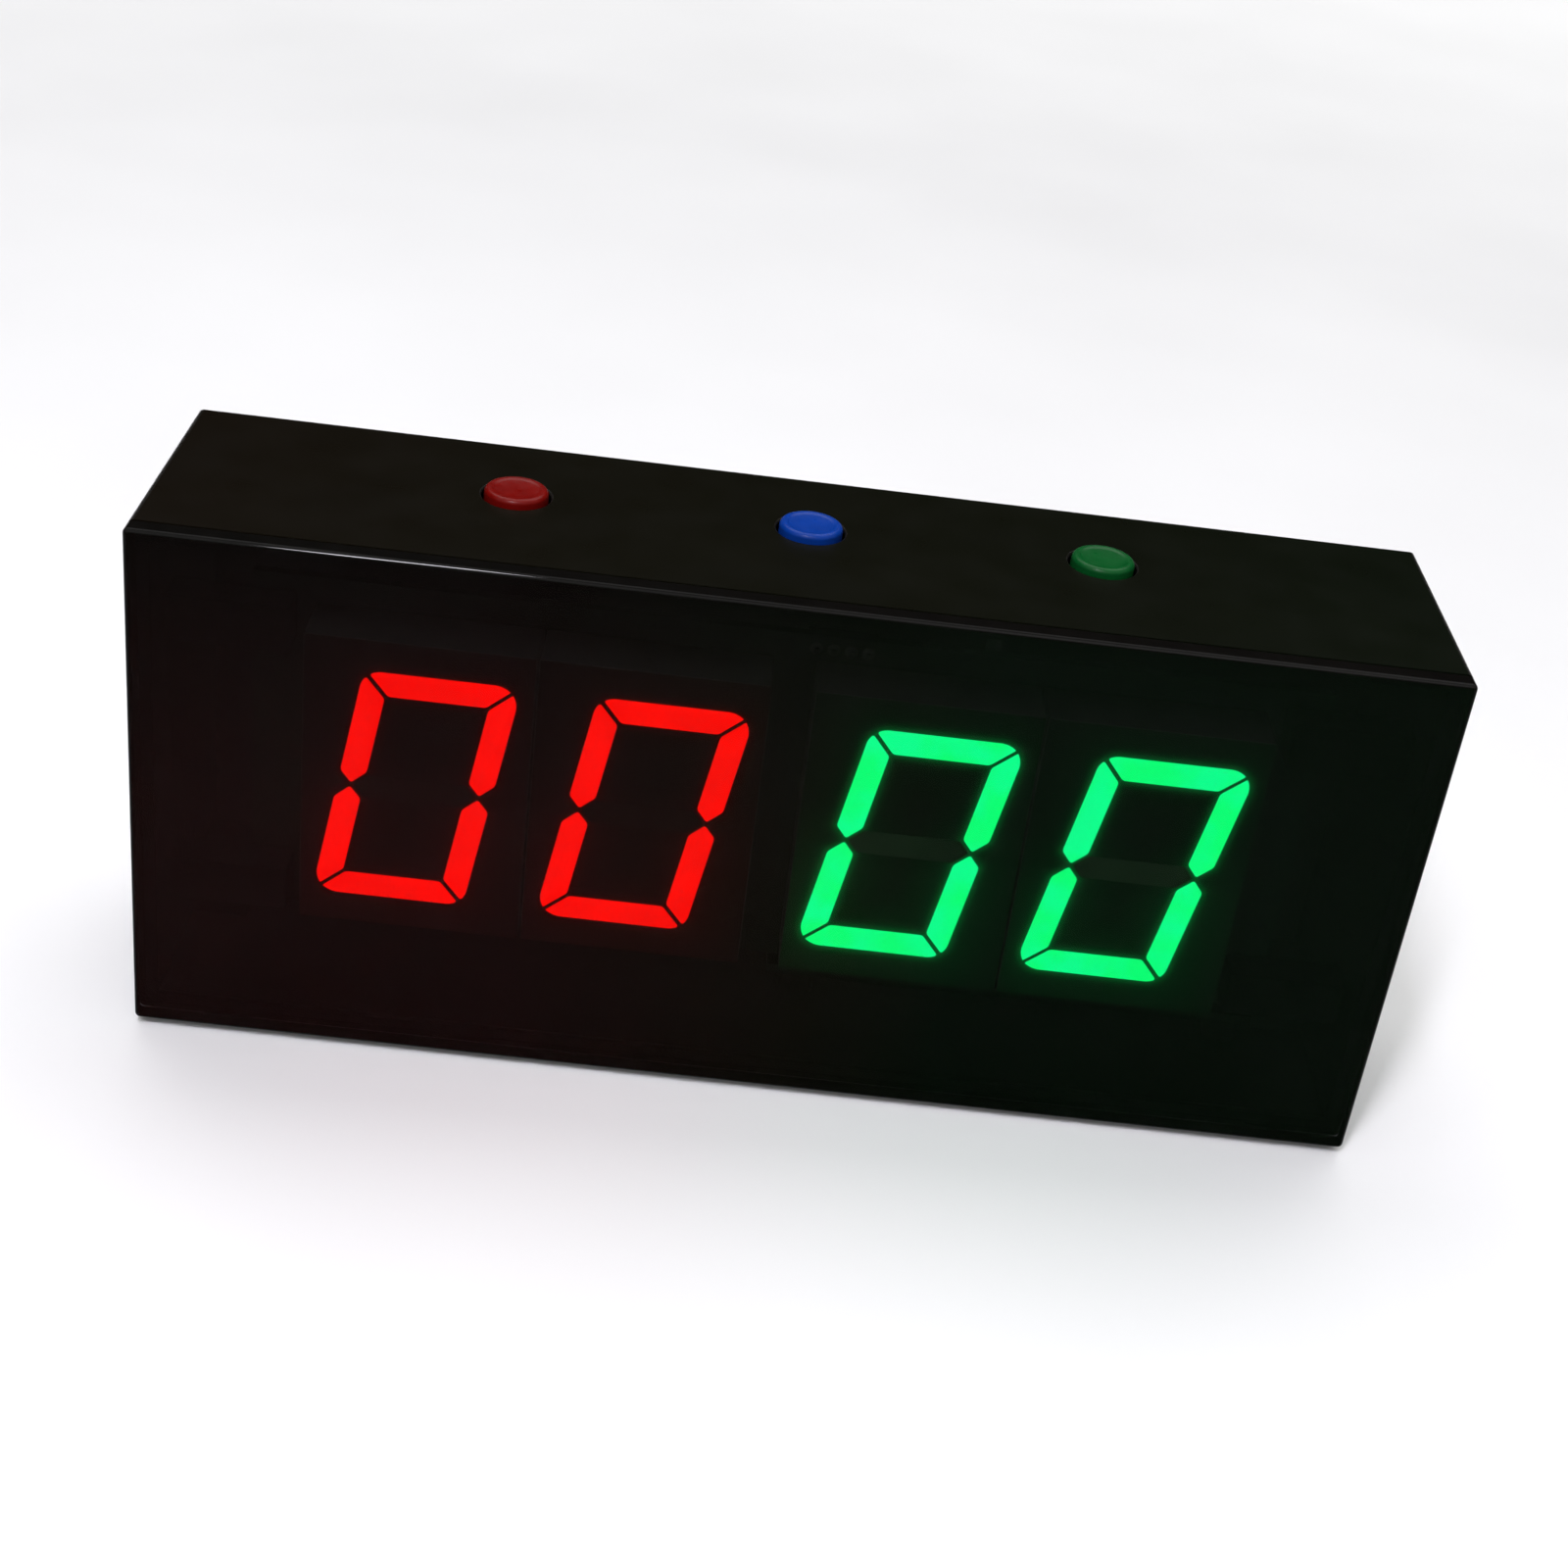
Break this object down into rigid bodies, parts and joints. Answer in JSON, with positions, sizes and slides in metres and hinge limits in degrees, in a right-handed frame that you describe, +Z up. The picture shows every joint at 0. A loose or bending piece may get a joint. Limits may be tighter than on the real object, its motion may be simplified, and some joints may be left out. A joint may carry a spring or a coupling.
{
  "type": "gym round timer",
  "caption": "Boxy round timer with a smoked see-through front over lit seven-segment digits and round push buttons on top.",
  "frame": {"origin": "in the surface the timer stands on, under the middle of its bounding box", "axes": "+X right seen from the front, the front panel faces -Y, +Z up"},
  "size_m": [0.186, 0.0444, 0.0837],
  "materials": {
    "smoked_acrylic": "smoked see-through acrylic, polished",
    "black_adhesive": "matte black",
    "case_black": "satin black",
    "cover_black": "matte black, fine texture",
    "rubber": "matte",
    "steel": "zinc-plated",
    "module_grey": "black-faced grey moulding",
    "segment_red": "red light-diffusing epoxy, lit",
    "segment_green": "green light-diffusing epoxy, lit",
    "board_green": "solder mask on glass-epoxy",
    "chip_black": "moulded",
    "connector_white": "moulded nylon",
    "button_red": "satin",
    "button_blue": "satin",
    "button_green": "satin",
    "switch_black": "moulded",
    "plunger_white": "moulded",
    "cable_grey": "soft jacket",
    "battery_blue": "shrink-wrapped",
    "foam_tape": "foam"
  },
  "bodies": {
    "case": {"battery_cable": "cable_grey", "battery_cell": "battery_blue", "battery_plug": "connector_white", "battery_socket": "connector_white", "battery_tape": "foam_tape", "buzzer": "chip_black", "case_shell": "case_black", "charge_inlet": "steel", "control_board": "board_green", "control_board_screw_1": "steel", "control_board_screw_2": "steel", "controller_chip": "chip_black", "digit_housing_1": "module_grey", "digit_housing_2": "module_grey", "digit_housing_3": "module_grey", "digit_housing_4": "module_grey", "digit_segments_1": "segment_red", "digit_segments_2": "segment_red", "digit_segments_3": "segment_green", "digit_segments_4": "segment_green", "display_board": "board_green", "display_board_screw_1": "steel", "display_board_screw_2": "steel", "display_board_screw_3": "steel", "display_board_screw_4": "steel", "display_cable": "cable_grey", "display_driver_chip": "chip_black", "display_header": "chip_black", "display_lower_plug": "connector_white", "display_plug": "chip_black", "display_socket": "connector_white", "foot_1": "rubber", "foot_2": "rubber", "foot_3": "rubber", "foot_4": "rubber", "front_panel": "smoked_acrylic", "panel_adhesive": "black_adhesive", "power_switch_body": "steel", "rear_cover": "cover_black", "rear_cover_screw_1": "steel", "rear_cover_screw_2": "steel", "rear_cover_screw_3": "steel", "rear_cover_screw_4": "steel", "switch_board": "board_green", "switch_board_screw_1": "steel", "switch_board_screw_2": "steel", "switch_body_blue": "switch_black", "switch_body_green": "switch_black", "switch_body_red": "switch_black", "switch_cable": "cable_grey", "switch_plug": "connector_white", "switch_socket": "connector_white"},
    "power_slider": {"power_switch_slider": "switch_black"},
    "red_button": {"button_cap_red": "button_red", "switch_plunger_red": "plunger_white"},
    "blue_button": {"button_cap_blue": "button_blue", "switch_plunger_blue": "plunger_white"},
    "green_button": {"button_cap_green": "button_green", "switch_plunger_green": "plunger_white"}
  },
  "joints": [
    {"name": "red_button_press", "type": "slide", "parent": "case", "child": "red_button", "axis": [0, 0, -1], "range_m": [0, 0.00035], "stiffness_N_per_m": 2500, "springref_m": -0.0003},
    {"name": "blue_button_press", "type": "slide", "parent": "case", "child": "blue_button", "axis": [0, 0, -1], "range_m": [0, 0.00035], "stiffness_N_per_m": 2500, "springref_m": -0.0003},
    {"name": "green_button_press", "type": "slide", "parent": "case", "child": "green_button", "axis": [0, 0, -1], "range_m": [0, 0.00035], "stiffness_N_per_m": 2500, "springref_m": -0.0003},
    {"name": "power_switch_slide", "type": "slide", "parent": "case", "child": "power_slider", "axis": [-1, 0, 0], "range_m": [0, 0.002]}
  ]
}
